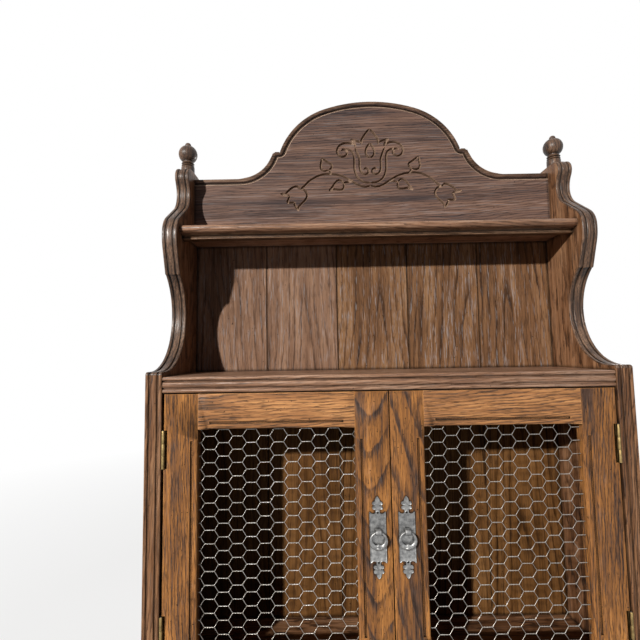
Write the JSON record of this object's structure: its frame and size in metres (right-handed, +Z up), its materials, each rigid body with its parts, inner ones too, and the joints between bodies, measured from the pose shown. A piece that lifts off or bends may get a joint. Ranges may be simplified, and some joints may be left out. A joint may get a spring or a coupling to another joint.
{
  "type": "wall display cabinet",
  "caption": "Dark oak wall cabinet with scrolled sides, an arched carved crest, an open display shelf and a cupboard behind hinged frame doors filled with hexagonal wire netting.",
  "frame": {"origin": "on the floor plane under the middle of the case", "axes": "+X to the right as seen from the front, +Y towards the wall, +Z up"},
  "size_m": [0.927, 0.2402, 1.243],
  "materials": {
    "case_oak": "dark waxed oak, worn",
    "door_oak": "brown waxed oak, worn",
    "galvanised_wire": "galvanised",
    "hinge_brass": "dull brass",
    "pin_steel": "plain steel",
    "pull_iron": "pewter grey, rubbed",
    "catch_plastic": "brown"
  },
  "bodies": {
    "cabinet": {"back_plank_1": "case_oak", "back_plank_2": "case_oak", "back_plank_3": "case_oak", "back_plank_4": "case_oak", "back_plank_5": "case_oak", "bottom_board": "case_oak", "case_hinge_leaves_left": "hinge_brass", "case_hinge_leaves_right": "hinge_brass", "catch_left": "catch_plastic", "catch_right": "catch_plastic", "cove_moulding": "case_oak", "crest_board": "case_oak", "deck_shelf": "case_oak", "finials": "case_oak", "hanging_rail": "case_oak", "hinge_pins_left": "pin_steel", "hinge_pins_right": "pin_steel", "side_panel_left": "case_oak", "side_panel_right": "case_oak", "top_shelf": "case_oak"},
    "door_left": {"bottom_rail_left": "door_oak", "catch_strike_left": "pin_steel", "door_hinge_leaves_left": "hinge_brass", "hinge_stile_left": "door_oak", "meeting_stile_left": "door_oak", "net_stops_left": "door_oak", "pull_eye_left": "pull_iron", "pull_plate_left": "pull_iron", "top_rail_left": "door_oak", "wire_net_left": "galvanised_wire"},
    "ring_left": {"pull_ring_left": "pull_iron"},
    "door_right": {"bottom_rail_right": "door_oak", "catch_strike_right": "pin_steel", "door_hinge_leaves_right": "hinge_brass", "hinge_stile_right": "door_oak", "meeting_stile_right": "door_oak", "net_stops_right": "door_oak", "pull_eye_right": "pull_iron", "pull_plate_right": "pull_iron", "top_rail_right": "door_oak", "wire_net_right": "galvanised_wire"},
    "ring_right": {"pull_ring_right": "pull_iron"}
  },
  "joints": [
    {"name": "door_left_hinge", "type": "hinge", "parent": "cabinet", "child": "door_left", "pos_m": [-0.4226, -0.1135, 0.295], "axis": [0, 0, -1], "range_deg": [0, 150]},
    {"name": "ring_left_swing", "type": "hinge", "parent": "door_left", "child": "ring_left", "pos_m": [-0.0266, -0.1197, 0.3049], "axis": [-1, 0, 0], "range_deg": [0, 150]},
    {"name": "door_right_hinge", "type": "hinge", "parent": "cabinet", "child": "door_right", "pos_m": [0.4226, -0.1135, 0.295], "axis": [0, 0, 1], "range_deg": [0, 150]},
    {"name": "ring_right_swing", "type": "hinge", "parent": "door_right", "child": "ring_right", "pos_m": [0.0266, -0.1197, 0.3049], "axis": [-1, 0, 0], "range_deg": [0, 150]}
  ]
}
